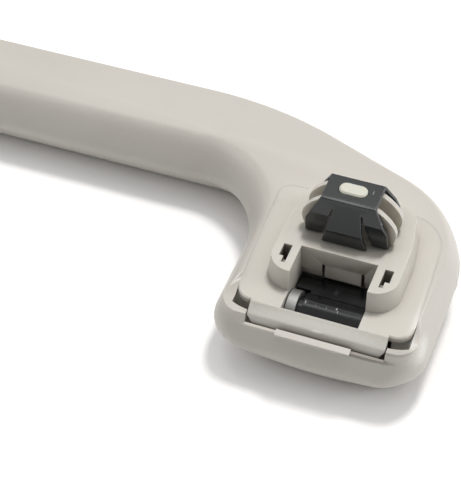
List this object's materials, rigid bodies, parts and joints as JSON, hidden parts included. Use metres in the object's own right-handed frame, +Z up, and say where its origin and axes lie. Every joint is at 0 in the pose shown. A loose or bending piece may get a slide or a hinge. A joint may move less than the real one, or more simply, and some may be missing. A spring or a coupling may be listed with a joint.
{
  "type": "roof grab handle",
  "caption": "Folding roof grab handle: a U-shaped grip with a hinged clip bracket in each end pad, one damped, one sprung.",
  "frame": {"origin": "centre of the bounding box's bottom, on the table that the grip's front face lies on", "axes": "+X along the grip towards the damped end, +Y from the pads' free ends towards the bar, +Z up, out of the grip's back"},
  "size_m": [0.2472, 0.0699, 0.0363],
  "materials": {
    "grip_plastic": "fine-grained moulded light beige",
    "bracket_plastic": "smooth moulded beige",
    "clip_steel": "blue-black coated spring steel",
    "plug_nylon": "natural white, slightly translucent",
    "pin_steel": "zinc-plated",
    "damper_black": "gloss black",
    "seal_rubber": "black rubber",
    "spring_steel": "drawn spring wire"
  },
  "bodies": {
    "handle": {"handle_grip": "grip_plastic", "right_inner_pin": "pin_steel", "right_outer_pin": "pin_steel", "left_inner_pin": "pin_steel", "left_outer_pin": "pin_steel", "damper_rotor": "plug_nylon"},
    "right_mount": {"right_bracket": "bracket_plastic", "right_spring_clip": "clip_steel", "right_clip_plug": "plug_nylon", "damper_barrel": "damper_black", "damper_cap": "damper_black", "damper_seal": "seal_rubber"},
    "left_mount": {"left_bracket": "bracket_plastic", "left_spring_clip": "clip_steel", "left_clip_plug": "plug_nylon", "spring_bobbin": "damper_black", "return_spring": "spring_steel"}
  },
  "joints": [
    {"name": "right_bracket_hinge", "type": "hinge", "parent": "handle", "child": "right_mount", "pos_m": [0.1, -0.02325, 0.0136], "axis": [1, 0, 0], "range_deg": [0, 75]},
    {"name": "left_bracket_hinge", "type": "hinge", "parent": "handle", "child": "left_mount", "pos_m": [-0.1, -0.02325, 0.0136], "axis": [1, 0, 0], "range_deg": [0, 75], "stiffness_Nm_per_rad": 0.1, "springref_deg": -45.84, "deforming": ["return_spring"]}
  ]
}
